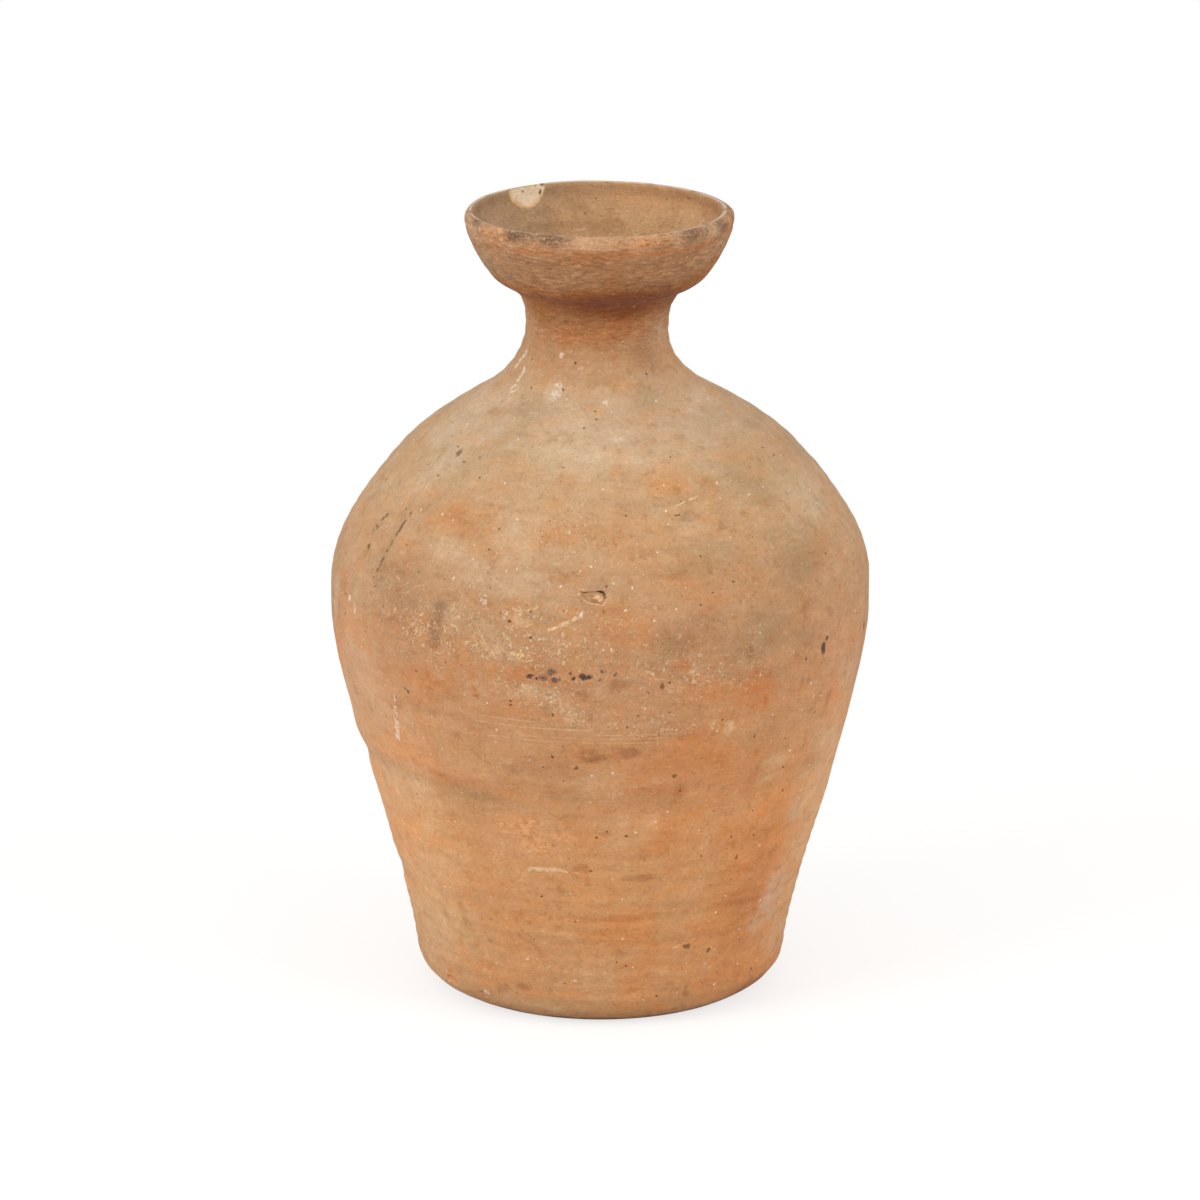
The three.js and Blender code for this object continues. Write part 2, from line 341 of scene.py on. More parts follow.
# the flake broke off the inner edge of the lip: all that stands inside the break moves back to it
across, along = offsets(points, *damage["flake"]["place"])
flakeEdge = 1 - 0.1 * np.sin(across * 5 + 1) - 0.05 * np.sin(across * 19)
flaked = np.clip(1 - (across / flakeEdge) ** 2 - (along / 2 / flakeEdge) ** 2, 0, 1)
breakDepth = damage["flake"]["depth"] * mm * (0.55 * flaked ** 0.3 + 0.45 * flaked)
broken = (flaked > 0) & (heights > dishSeam)
push = np.where(broken, np.maximum(push, innerRadius(heights) + breakDepth - radii), push)

footFlat = rising(heights, 0, warp["footReach"])
places[:, :2] += outwards * (push * footFlat)[:, None]
places[:, 0] += wander(heights)
places[:, 0] += warp["mouthShift"] * mm * (1 - outside) * rising(heights, dishSeam, warp["mouthReach"])
lipWave = (np.sin(turned * 3 + 0.8) + 0.6 * np.sin(turned * 7) + 1.6) / 3.2
lipDrop = warp["lipWave"] * lipWave + warp["backDrop"] * (0.5 - 0.5 * np.cos(turned))
places[:, 2] -= lipDrop * mm * rising(heights, lipSeam + warp["lipWaveFrom"] * mm, warp["lipWaveReach"])
skin.data.vertices.foreach_set("co", places.ravel())
skin.data.update()


def clayNoise(name, size, depth, octaves=2):
    # pushes the outer skin along its normals by a cloud pattern
    cloud = bpy.data.textures.new(name, "CLOUDS")
    cloud.noise_scale = size * mm
    cloud.noise_depth = octaves
    cloud.noise_basis = "ORIGINAL_PERLIN"
    pusher = skin.modifiers.new(name, "DISPLACE")
    pusher.texture = cloud
    pusher.texture_coords = "LOCAL"
    pusher.strength = depth * mm
    pusher.mid_level = 0.5
    pusher.vertex_group = "outer"
    bpy.ops.object.modifier_apply(modifier=name)


outerGroup = skin.vertex_groups.new(name="outer")
weights = np.round(np.clip(0.35 + 0.65 * outside, 0, 1) * footFlat, 1)
for weight in np.unique(weights):
    outerGroup.add(np.nonzero(weights == weight)[0].tolist(), float(weight), "REPLACE")
clayNoise("lumps", warp["lumpSize"], warp["lumps"])
clayNoise("dimples", warp["dimpleSize"], warp["dimples"])
clayNoise("grit", warp["gritSize"], warp["grit"], octaves=3)

# nothing stands outside the frame's box
places = read(skin.data.vertices, "co", 3)
reach, limit = np.hypot(places[:, 0], places[:, 1]), cadBox[1][0]
softness = warp["boxSoftness"] * mm
over = np.maximum(reach - limit + softness, 0)
places[:, :2] *= ((reach - over + softness * np.tanh(over / softness)) / np.maximum(reach, 1e-9))[:, None]
places[:, 2] = np.clip(places[:, 2], 0, topHeight)
skin.data.vertices.foreach_set("co", places.ravel())
keep("inside", "FLOAT", 1 - outside)

# stains, wear, painted light and painted shade: each patch has its angle, height, width and drop, in
# degrees and mm
patches = {
    "olive": [
        (-36, 216, 13, 28), (-30, 125, 46, 11), (24, 249, 44, 22), (50, 240, 38, 30), (45, 279, 30, 12),
        (40, 205, 64, 18), (14, 212, 22, 14), (-57, 246, 8, 34), (30, 314, 24, 14), (-52, 130, 46, 9),
        (130, 250, 70, 40), (-130, 262, 60, 30), (180, 205, 90, 30), (-160, 130, 60, 20)],
    "warm": [
        (4, 223, 34, 26), (-10, 262, 50, 14), (20, 281, 24, 10), (-40, 262, 38, 16), (26, 186, 46, 14),
        (-24, 341, 12, 12), (22, 150, 80, 46), (45, 95, 60, 110), (46, 50, 50, 60), (14, 110, 40, 30),
        (-40, 186, 50, 16), (-16, 196, 60, 12), (0, 345, 40, 18), (120, 120, 90, 60),
        (-140, 190, 80, 50), (160, 60, 80, 40)],
    # pale stains, and painted light and sheen on the left and right sides of the body, neck and dish
    "pale": [
        (-62, 110, 56, 140), (-54, 50, 50, 60), (-64, 180, 40, 50), (-27, 317, 10, 14),
        (-20, 258, 34, 22), (72, 110, 30, 150), (-80, 110, 34, 150), (86, 150, 24, 110),
        (-5, 292, 70, 16), (66, 262, 44, 34), (-60, 290, 50, 40), (-34, 248, 40, 14), (-20, 238, 50, 12),
        (150, 290, 80, 30), (-110, 60, 60, 40), (-22, 9, 60, 14), (-70, 140, 50, 90), (-68, 60, 40, 90),
        (-52, 112, 40, 80), (66, 118, 36, 120), (-68, 120, 40, 110), (42, 198, 30, 22),
        (-56, 348, 40, 44), (66, 347, 32, 44), (-64, 382, 44, 30), (64, 380, 46, 32), (8, 113, 26, 24),
        (44, 136, 24, 16)],
    # dusky stains, and painted shade low on the right side of the body
    "dusky": [
        (-48, 226, 46, 42), (46, 68, 34, 80), (20, 216, 34, 24), (45, 334, 26, 26), (-12, 146, 40, 12),
        (150, 210, 70, 34), (-150, 110, 60, 40)],
    "cream": [
        (-26, 213, 150, 46), (22, 196, 84, 24), (-12, 186, 44, 18), (10, 170, 64, 14), (-23, 207, 36, 9),
        (-10, 210, 30, 12), (-40, 215, 20, 18), (-15, 188, 24, 8), (-5, 178, 20, 10), (-18, 226, 14, 8),
        (-7, 264, 22, 24), (-11, 187, 20, 6), (-6.5, 176, 12, 9), (140, 200, 90, 40),
        (-130, 215, 80, 30), (100, 170, 40, 50)],
    "bloom": [
        (58, 60, 24, 34), (57, 106, 14, 18), (54, 48, 18, 14), (-77, 205, 16, 26), (150, 90, 30, 24)],
    "lipSoot": [
        (-21, 398.8, 24, 10), (-38, 398.5, 20, 10), (45, 398.5, 24, 10), (66, 397, 16, 11),
        (130, 398, 60, 12), (-140, 398, 30, 12), (175, 398, 40, 10), (-66, 399, 12, 6)],
    # painted shadow under the dish mixed with soot, and darker patches by the foot
    "grime": [
        (12, 359, 50, 15), (8, 364, 58, 9), (30, 361, 34, 13), (120, 360, 46, 18), (-150, 359, 50, 18),
        (75, 358, 24, 12), (62, 6, 44, 12), (-170, 5, 80, 9)],
}


def patchShare(name):
    # how strongly one kind of patch shows at each point
    share = np.zeros(len(heights))
    for patch in patches[name]:
        across, along = offsets(points, *patch)
        share = 1 - (1 - share) * (1 - 0.85 * np.exp(-0.8 * (across ** 2 + along ** 2)))
    return share * (outside > 0.15)


# stains also holds painted light and sheen; soot holds painted shade and the painted shadow under the dish
for name, kinds in (("stainsAndLight", ("olive", "warm", "pale")), ("wear", ("cream", "bloom", "lipSoot")),
                    ("sootAndShade", ("grime", "dusky"))):
    shares = [patchShare(kind) for kind in kinds] + [np.zeros(len(heights))] * (3 - len(kinds))
    keep(name, "FLOAT_VECTOR", np.stack(shares, 1))
skin.data.update()

print("stage: parting the sections")
keep("skinNormal", "FLOAT_VECTOR", read(skin.data.vertex_normals, "vector", 3))
skin.vertex_groups.clear()


def closeRing(mesh, level):
    # bridges the outer and inner rims that parting left at one seam
    onSeam = np.abs(read(mesh.attributes["height"].data, "value") - level) < touching
    editMode(True)
    bpy.ops.mesh.select_mode(type="EDGE")
    bpy.ops.mesh.select_all(action="DESELECT")
    bpy.ops.mesh.select_non_manifold(extend=False, use_wire=False, use_boundary=True)
    editMode(False)
    rim = read(mesh.edges, "select", 1, bool) & onSeam[read(mesh.edges, "vertices", 2, int)].all(1)
    for items in (mesh.vertices, mesh.polygons):
        items.foreach_set("select", np.zeros(len(items), bool))
    mesh.edges.foreach_set("select", rim)
    editMode(True)
    bpy.ops.mesh.bridge_edge_loops()
    bpy.ops.mesh.select_all(action="DESELECT")
    editMode(False)


pieces = {}
for index, name in enumerate(sections):
    mesh = skin.data.copy()
    piece = placed(name.replace("_", "") + "Clay", mesh)
    mesh.name = piece.name
    selectOnly(piece)
    editMode(True)
    bpy.ops.mesh.select_mode(type="FACE")
    editMode(False)
    mesh.polygons.foreach_set("select", faceSection != index)
    editMode(True)
    bpy.ops.mesh.delete(type="FACE")
    editMode(False)
    skinFaces = len(mesh.polygons)
    for level in seams[max(0, index - 1):index + 1]:
        closeRing(mesh, level)
    # keep the whole skin's normals, so that no seam shows as a crease
    normals = read(mesh.attributes["skinNormal"].data, "vector", 3, np.float32)
    loopNormals = normals[read(mesh.loops, "vertex_index", 1, int)]
    corners = read(mesh.polygons, "loop_total", 1, int)
    loopNormals[corners[:skinFaces].sum():] = 0
    mesh.shade_smooth()
    mesh.normals_split_custom_set(loopNormals)
    for attribute in ("section", "height", "skinNormal"):
        mesh.attributes.remove(mesh.attributes[attribute])
    pieces[name] = piece
    print("  ", piece.name, len(mesh.polygons), "faces")
bpy.data.objects.remove(skin)

print("stage: clay")


def paint(red, green, blue):
    # an sRGB colour, 0 to 255, as the linear colour that a shader takes
    def linear(value):
        value /= 255
        return value / 12.92 if value <= 0.04045 else ((value + 0.055) / 1.055) ** 2.4
    return (linear(red), linear(green), linear(blue), 1)


def maths(operation, reflected=False):
    # an operator for Wire, reflected where the wire comes second in the sum
    def combine(own, other):
        first, second = (other, own) if reflected else (own, other)
        return Wire.make("Math", {0: first, 1: second}, operation=operation)
    return combine


class Wire:
    # one socket in the shader that is being made: sums written with it add Math nodes
    tree = None

    def __init__(self, socket):
        self.socket = socket

    @classmethod
    def make(cls, kind, sockets=None, out=0, stops=(), **settings):
        node = cls.tree.nodes.new("ShaderNode" + kind)
        for key, value in settings.items():
            setattr(node, key, value)
        for index, (position, colour) in enumerate(stops):
            ramp = node.color_ramp.elements
            stop = ramp[index] if index < 2 else ramp.new(position)
            stop.position, stop.color = position, colour
        for key, value in (sockets or {}).items():
            if isinstance(value, Wire):
                cls.tree.links.new(value.socket, node.inputs[key])
            else:
                node.inputs[key].default_value = value
        return cls(node.outputs[out]) if node.outputs else None

    def output(self, name):
        return Wire(self.socket.node.outputs[name])

    __add__, __radd__ = maths("ADD"), maths("ADD", True)
    __sub__, __rsub__ = maths("SUBTRACT"), maths("SUBTRACT", True)
    __mul__, __rmul__ = maths("MULTIPLY"), maths("MULTIPLY", True)
    __truediv__ = maths("DIVIDE")
    least, most = maths("MINIMUM"), maths("MAXIMUM")


def startShader(owner):
    # an empty shader, which the nodes made from here on go to
    owner.use_nodes = True
    owner.node_tree.nodes.clear()
    Wire.tree = owner.node_tree
    return owner


def fade(value, start, end):
    # 0 at start, 1 at end, smooth between them
    return Wire.make("MapRange", {"Value": value, "From Min": start, "From Max": end},
                     interpolation_type="SMOOTHSTEP")


def vector(operation, *operands, out=0):
    # out is 1 where the result is a number
    return Wire.make("VectorMath", dict(enumerate(operands)), out, operation=operation)


def scaled(where, *sizes):
    return vector("MULTIPLY", where, sizes)


def noise(where, size, detail=2.0, roughness=0.5, out="Fac"):
    # a cloud pattern with features of this size in mm
    return Wire.make("TexNoise", {"Vector": where, "Scale": 1000 / size, "Detail": detail,
                                  "Roughness": roughness}).output(out)


def stirred(where, size, reach, detail=2.0):
    # the same place, pushed about by up to half the reach in mm, so that what is drawn has soft edges
    offset = noise(where, size, detail, 0.6, "Color")
    centred = vector("SUBTRACT", offset, (0.5, 0.5, 0.5))
    spread = Wire.make("VectorMath", {0: centred, "Scale": reach * mm}, operation="SCALE")
    return vector("ADD", where, spread)


def tint(base, colour, amount, blend="MIX"):
    return Wire.make("Mix", {0: amount, 6: base, 7: colour}, 2, data_type="RGBA", blend_type=blend)


washes = {  # what each multiplies the clay's red, green and blue by, and how strongly at the most
    "kilnWarm": (1.05, 0.85, 0.66, 1), "kilnOlive": (0.82, 0.87, 0.87, 1),
    "kilnPale": (1.12, 1.22, 1.34, 0.5), "kilnDark": (0.74, 0.64, 0.55, 0.45),
    "warmBlotch": (1.04, 0.88, 0.72, 0.55), "paleBlotch": (1.05, 1.14, 1.26, 0.5),
    "olive": (0.8, 0.84, 0.82, 0.75), "warm": (1.04, 0.83, 0.62, 0.8),
    # pale also paints light and sheen on the sides, dusky paints shade, and grime paints the shadow under
    # the dish as well as soot
    "pale": (1.1, 1.27, 1.48, 0.74), "dusky": (0.85, 0.79, 0.78, 0.8),
    "grime": (0.65, 0.45, 0.26, 0.92), "redRing": (0.88, 0.72, 0.64, 0.5),
    "greenRing": (0.76, 0.8, 0.78, 0.5), "lowRing": (0.8, 0.68, 0.6, 0.6),
    "wipedLines": (1.02, 0.84, 0.7, 0.3), "combedPale": (1.46, 1.48, 1.46, 1),
    "combedDark": (0.6, 0.5, 0.42, 1), "mottleDark": (0.74, 0.64, 0.55, 0.55),
    "mottlePale": (1.14, 1.28, 1.45, 0.45), "fleckDark": (0.72, 0.62, 0.52, 0.45),
    "fleckPale": (1.18, 1.28, 1.4, 0.45), "smear": (1.12, 1.25, 1.4, 0.5),
    "faintMarks": (0.72, 0.68, 0.66, 0.85), "rustMarks": (0.95, 0.66, 0.46, 0.85),
    "flaky": (1.0, 0.82, 0.66, 0.6), "footShade": (0.84, 0.76, 0.68, 0.2),
    "footMarks": (0.72, 0.64, 0.54, 0.45), "lipWarm": (1.02, 0.78, 0.56, 0.75),
    "lipCrumbs": (1.22, 1.28, 1.36, 0.38), "lipPits": (0.64, 0.58, 0.54, 0.6),
    "mouthRight": (0.84, 0.78, 0.74, 0.8), "mouthTop": (0.7, 0.71, 0.72, 0.6),
    "mouthDark": (0.8, 0.76, 0.72, 0.6), "mouthPale": (1.1, 1.12, 1.14, 0.5),
    "mouthMottlePale": (1.18, 1.22, 1.24, 0.5), "mouthMottleDark": (0.74, 0.68, 0.62, 0.5),
    "mouthPits": (0.66, 0.58, 0.5, 0.6), "mouthWarm": (1.04, 0.88, 0.74, 0.5),
    "scarArea": (0.86, 0.84, 0.82, 0.9), "aboveScar": (0.7, 0.8, 0.9, 0.6),
    "scarShade": (0.8, 0.76, 0.74, 0.8),
}
coats = {  # the sRGB colour of what covers the clay, and how strongly at the most
    "cream": (238, 199, 154, 0.72), "scuffs": (232, 190, 144, 0.62), "rust": (196, 104, 52, 0.6),
    "lime": (240, 218, 190, 0.8), "pits": (92, 56, 36, 0.78), "whiteMarks": (234, 216, 196, 0.82),
    "bloom": (204, 174, 146, 0.7), "black": (54, 48, 50, 0.88), "grey": (84, 74, 74, 0.84),
    "brown": (100, 62, 40, 0.72), "flakes": (240, 178, 126, 0.75), "levelLines": (234, 192, 144, 0.46),
    "scratches": (240, 204, 160, 0.76), "footDirt": (112, 70, 42, 0.75),
    "lipPale": (222, 177, 137, 0.58), "lipSoot": (92, 70, 56, 0.76), "underLip": (192, 112, 46, 1),
    # the colour along the lip's inner edge is a painted highlight
    "rimEdge": (236, 208, 186, 0.62), "mouthLime": (240, 220, 190, 0.85),
    "mouthSpots": (104, 68, 44, 0.75), "mouthRust": (204, 126, 70, 0.55),
    "breakCore": (244, 222, 190, 1), "breakGrains": (214, 176, 134, 0.6),
    "breakSpots": (126, 64, 32, 0.9), "scarRim": (236, 202, 160, 0.7), "scarLump": (246, 200, 140, 0.86),
    "scarEdge": (112, 64, 34, 0.8), "scarCrack": (46, 25, 15, 0.94), "chip": (216, 142, 84, 0.85),
}


def atMost(mask, strength):
    return mask if strength == 1 else mask * strength


def washed(base, **masks):
    # multiplies the colour, so that a stain keeps the tone of what it lies on
    for name, mask in masks.items():
        *colour, strength = washes[name]
        base = tint(base, (*colour, 1), atMost(mask, strength), "MULTIPLY")
    return base


def coated(base, **masks):
    for name, mask in masks.items():
        *colour, strength = coats[name]
        base = tint(base, paint(*colour), atMost(mask, strength))
    return base


def spotAt(angle, height, radiusAt=outerRadius):
    # a place on the outline, from its angle in degrees and its height in mm
    turn, radius = math.radians(angle), float(radiusAt(height * mm))
    return Vector((radius * math.sin(turn), -radius * math.cos(turn), height * mm))


def blots(where, marks, softness, radiusAt=outerRadius):
    # the union of oval marks, each with its angle, height, width and drop, in degrees and mm
    distances = []
    for angle, height, width, drop in marks:
        shrink = Vector((2 / width, 2 / width, 2 / drop)) / mm
        centre = -spotAt(angle, height, radiusAt) * shrink
        distances.append(vector("LENGTH", vector("MULTIPLY_ADD", where, shrink, centre), out=1))
    return fade(reduce(Wire.least, distances), 1 + softness, 1 - softness)


def strokes(where, marks, radiusAt=outerRadius):
    # the union of straight marks, each with its two ends, as angles and heights, and its width in mm
    lines = []
    for start, end, width in marks:
        first, last = spotAt(*start, radiusAt), spotAt(*end, radiusAt)
        length = (last - first).length
        own = vector("SUBTRACT", where, (first + last) / 2)
        across = vector("LENGTH", vector("CROSS_PRODUCT", own, (last - first).normalized()), out=1)
        along = vector("LENGTH", own, out=1)
        line = fade(across, width * mm * 0.65, width * mm * 0.3)
        lines.append(line * fade(along, length * 0.58, length * 0.44))
    return reduce(Wire.most, lines)


def cells(where, spacing):
    # cells about so far apart in mm, and the random values that go with each
    cell = Wire.make("TexVoronoi", {"Vector": where, "Scale": 1000 / spacing})
    return cell, Wire.make("SeparateColor", {0: cell.output("Color")})


def dashes(where, spacing, share, length, width, tilt):
    # short strokes strewn about, level where tilt is 0 and at any slant where it is large
    cell, luck = cells(where, spacing)
    own = vector("SUBTRACT", where, cell.output("Position"))
    lean = vector("MULTIPLY_ADD", cell.output("Color"), (tilt, tilt, 0), (-tilt / 2, -tilt / 2, 1))
    across = vector("DOT_PRODUCT", own, lean, out=1) * 1000
    along = vector("LENGTH", own, out=1) * 1000
    present = fade(luck.output("Blue"), 1 - share, 1.02 - share)
    return fade(across * across, width * width * 0.5, width * width * 0.1) * fade(
        along, length * 0.6, length * 0.4) * present


def curls(where, size, width):
    # thin wandering lines, where a cloud pattern passes its middle value
    swing = noise(where, size, 2, 0.6) - 0.5
    return fade(swing * swing, width * width, 0)


def specks(where, spacing, shares, smallest, largest):
    # kinds of dots strewn about in cells so far apart, each kind in its share of the cells; radii in mm
    cell, luck = cells(where, spacing)
    radius = luck.output("Green") * (largest - smallest) + smallest
    dot = fade(cell * spacing - radius, 0.12, -0.12)
    kinds, start = [], 0
    for share in shares:
        end = start + share
        chosen = fade(luck.output("Red"), start, start + 0.01) * fade(luck.output("Red"), end, end - 0.01)
        kinds.append(dot * chosen)
        start = end
    return kinds


def threeOf(place):
    split = Wire.make("SeparateXYZ", {0: place})
    return [split.output(axis) for axis in "XYZ"]


def patchKinds(name):
    # the three kinds of patch that one attribute of the pieces holds
    return threeOf(Wire.make("Attribute", attribute_name=name).output("Vector"))


clay = startShader(bpy.data.materials.new("firedClay"))
where = Wire.make("TexCoord").output("Object")
sideways, backwards, height = threeOf(where)
hollow = Wire.make("Attribute", attribute_name="inside").output("Fac")
inside = fade(hollow, 0.45, 0.75)
olivePatch, warmPatch, paleAndLightPatch = patchKinds("stainsAndLight")
creamPatch, bloomPatch, lipSootPatch = patchKinds("wear")
# painted shade and the painted shadow under the dish, with soot and dusky stains
grimePatch, duskyPatch = patchKinds("sootAndShade")[:2]
drifting = stirred(where, 70, 34)
edgy = stirred(where, 5, 5.5, 4)
crumbly = stirred(where, 2.2, 2.2, 3)
wobbly = stirred(where, 4, 1.8)
ragged = (noise(where, 14, 5, 0.65) - 0.5) * 0.9

zones = {  # height in mm and the sRGB colour of the bare clay there; from 346 to 367 mm, under the dish, it is darkened by painted shadow as well as soot
    0: (204, 150, 98), 9: (209, 154, 102), 18: (202, 149, 102), 28: (210, 155, 106), 60: (213, 154, 102),
    95: (216, 157, 105), 140: (208, 152, 105), 190: (199, 144, 101), 222: (191, 145, 105),
    255: (197, 155, 115), 292: (198, 160, 120), 306: (207, 173, 138), 320: (201, 160, 120),
    330: (190, 145, 104), 346: (177, 124, 83), 352: (161, 104, 56), 360: (152, 86, 26),
    367: (162, 101, 47), 374: (168, 119, 78), 381: (177, 129, 89), 390: (173, 124, 85),
    400: (196, 151, 113),
}
highest = max(zones)
drift = (noise(where, 85, 3) - 0.5) * 0.055 + (noise(where, 16, 3) - 0.5) * 0.012
stops = [(level / highest, paint(*colour)) for level, colour in zones.items()]
zoneHeight = (height + drift * fade(height, 0.0, 0.05)) / (highest * mm)
body = Wire.make("ValToRGB", {"Fac": zoneHeight}, stops=stops)

# broad clouds from the kiln: orange where the flame touched the clay, olive and grey where it smouldered
upper = fade(height, 0.19, 0.25)
neckward = fade(height, 0.322, 0.35)
clouds = {  # stretch on the three axes, size in mm, detail, roughness, and where it starts and is full
    "kilnWarm": ((1, 1, 1.7), 62, 4, 0.55, 0.5, 0.68),
    "kilnOlive": ((1.2, 1.2, 1.5), 48, 4, 0.6, 0.5, 0.7),
    "kilnPale": ((1.1, 1.1, 2.2), 37, 4, 0.6, 0.52, 0.72),
    "kilnDark": ((0.9, 0.9, 2.6), 31, 5, 0.65, 0.54, 0.74),
}
strengths = {"kilnWarm": 0.8 - 0.35 * upper, "kilnOlive": 0.4 + 0.3 * upper}
for name, (stretch, size, detail, roughness, start, full) in clouds.items():
    cloud = fade(noise(scaled(drifting, *stretch), size, detail, roughness), start, full)
    body = washed(body, **{name: atMost(cloud, strengths.get(name, 1))})
blotch = noise(scaled(drifting, 1, 1, 1.3), 17, 5, 0.64)
body = washed(
    body,
    warmBlotch=fade(blotch, 0.52, 0.64),
    paleBlotch=fade(blotch, 0.46, 0.34),
    # stains that lie in one place, with ragged edges; the pale patches also paint light and sheen on the
    # sides, the dusky ones paint shade low on the right, and the grime ones paint the shadow under the
    # dish as well as soot
    olive=fade(olivePatch + ragged, 0.15, 0.95),
    warm=fade(warmPatch + ragged, 0.15, 0.95),
    pale=fade(paleAndLightPatch - ragged, 0.15, 0.95),
    dusky=fade(duskyPatch + ragged, 0.15, 0.95),
    grime=fade(grimePatch + ragged * 0.4, 0.0, 0.9))

# a reddish ring with a greenish one under it where two sections meet, and a fainter one lower down, each
# with its height in mm and the square of its reach
jointRings = {"redRing": (134.5, 16), "greenRing": (128.5, 20), "lowRing": (62.5, 6)}
ringHeight = height + (noise(where, 50, 2) - 0.5) * 0.012 + (noise(where, 6, 3) - 0.5) * 0.004
ringBreak = fade(noise(where, 30, 3), 0.36, 0.6)
for name, (level, reachSquared) in jointRings.items():
    offRing = ringHeight - level * mm
    body = washed(body, **{name: fade(offRing * offRing, reachSquared * mm * mm, 0) * ringBreak})

# fine lines that the turning and the wiping left, closest on the neck and the mouth
wiped = noise(scaled(where, 1, 1, 7), 34, 3, 0.6)
combed = noise(scaled(wobbly, 1, 1, 4.2), 5.2, 4, 0.76)
dished = neckward * (0.62 + 0.38 * fade(height, 0.35, 0.366) - 0.16 * fade(height, 0.37, 0.382))
combing = 0.05 + 0.64 * dished
lines = 1 + (wiped - 0.5) * 0.3 + (combed - 0.5) * (0.1 + 0.2 * neckward)

# small mottling, a hand's touch across
mottle = noise(crumbly, 8, 5, 0.66)
flecked = noise(crumbly, 2.6, 4, 0.7)
body = washed(
    body,
    wipedLines=fade(wiped, 0.52, 0.7),
    combedPale=fade(combed, 0.53, 0.6) * combing,
    combedDark=fade(combed, 0.47, 0.4) * combing,
    mottleDark=fade(mottle, 0.46, 0.32),
    mottlePale=fade(mottle, 0.54, 0.68),
    fleckDark=fade(flecked, 0.42, 0.31),
    fleckPale=fade(flecked, 0.58, 0.69))

# lime and slip worn to cream flecks, curls and scrapes, thickest round the belly
frayed = fade(noise(crumbly, 3.2, 4, 0.74) + creamPatch * 0.09, 0.62, 0.66) * (0.18 + 0.82 * creamPatch)
curled = curls(crumbly, 4.4, 0.024) * fade(noise(where, 5, 3, 0.6) + creamPatch * 0.12, 0.54, 0.6)
scraped = dashes(crumbly, 6, 0.6, 4.6, 0.65, 1.8)
smeared = fade(noise(edgy, 15, 5, 0.7) + creamPatch * 0.1, 0.56, 0.66) * creamPatch
cream = frayed.most(curled * (0.12 + 0.8 * creamPatch)).most(scraped * (0.08 + 0.66 * creamPatch))
scuffs = blots(edgy, [
    (-18.6, 186.4, 7, 4), (-14.7, 188.2, 10, 5.5), (-10.8, 187.3, 7, 5), (-7.1, 178.2, 6, 10),
    (-5.4, 174.4, 7, 7), (-9, 182.5, 6, 7), (-17.5, 206.3, 12, 6), (-22.8, 206.5, 10, 7),
    (29.1, 165.1, 7, 8), (25.4, 166.3, 5, 9), (-26, 210, 9, 4), (-17, 224.5, 8, 7)], 0.6)
body = washed(body, smear=smeared)
body = coated(body, cream=cream, scuffs=scuffs * fade(noise(crumbly, 4, 4, 0.7), 0.44, 0.54))

# strewn specks
limeDots, pits, rustDots = specks(crumbly, 5.2, [0.42, 0.28, 0.22], 0.18, 0.7)
limeDust, pitDust = specks(crumbly, 2.9, [0.4, 0.4], 0.16, 0.42)
limeDots = limeDots * (1 - 0.6 * neckward)
limeDust = limeDust * (1 - 0.5 * neckward)
crumbs = fade(flecked, 0.56, 0.64) * fade(height + (mottle - 0.5) * 0.02, 0.014, 0.004)
body = coated(
    body,
    rust=rustDots,
    lime=limeDots.most(limeDust * 0.65),
    pits=pits.most(pitDust * 0.6).most(crumbs * 0.75))

# marks that sit in one place, each with its angle, height, width and drop
whiteMarks = blots(edgy, [
    (-74, 322, 2.2, 4.4), (-61.4, 319.4, 3, 4), (-28, 319, 3.8, 4), (-27, 314.5, 5.4, 6.4),
    (-64.2, 209, 3, 5), (-66.8, 213.6, 3, 5), (3, 313, 4, 2), (8, 330, 1.2, 5), (20, 333, 1.4, 4),
    (-38.5, 13.5, 5, 2), (-8, 26.6, 3, 1.4), (-30, 332, 3, 3), (-14, 327.5, 2.4, 2.2),
    (-20.5, 309, 2, 2), (24, 330.5, 2, 4), (-3.9, 227.3, 2.8, 3), (-50.6, 170, 1.6, 5),
    (-25.8, 230.5, 3, 3)], 0.35)
drips = strokes(wobbly, [
    ((-69.4, 330), (-74.8, 320.5), 3.4), ((-62.6, 323.4), (-60, 315.6), 3.4),
    ((-51, 166), (-51.8, 156), 2.6), ((-51.6, 158), (-52.8, 147), 3.4)])
ringMark = vector("DISTANCE", where, spotAt(-58.9, 313.4), out=1) * 1000 - 2.3
whiteMarks = whiteMarks.most(drips).most(fade(ringMark * ringMark, 0.9, 0.2))
bloom = fade(bloomPatch + ragged, 0.15, 0.85) * fade(noise(edgy, 8, 4, 0.7), 0.32, 0.62)
blackDots = [
    (-14.7, 196.1, 4, 2.4), (-5.6, 195.9, 2.4, 2.4), (-3.0, 197.1, 6.4, 3), (-13.3, 194.7, 1.6, 1.6),
    (54.8, 194.8, 4.6, 6), (55.8, 199.5, 2.2, 3), (77.6, 192.6, 3.6, 6), (-6.4, 198.4, 1.4, 1.4)]
greyDots = [
    (-13.9, 199.8, 2.6, 1.8), (-11.9, 195.3, 5, 3.4), (-10.1, 198.6, 5, 3), (-9.2, 194.6, 4, 2.6),
    (0.7, 199.2, 3.6, 2.4), (-0.2, 195.6, 2.6, 3.2), (3.2, 197.6, 2.2, 1.8)]
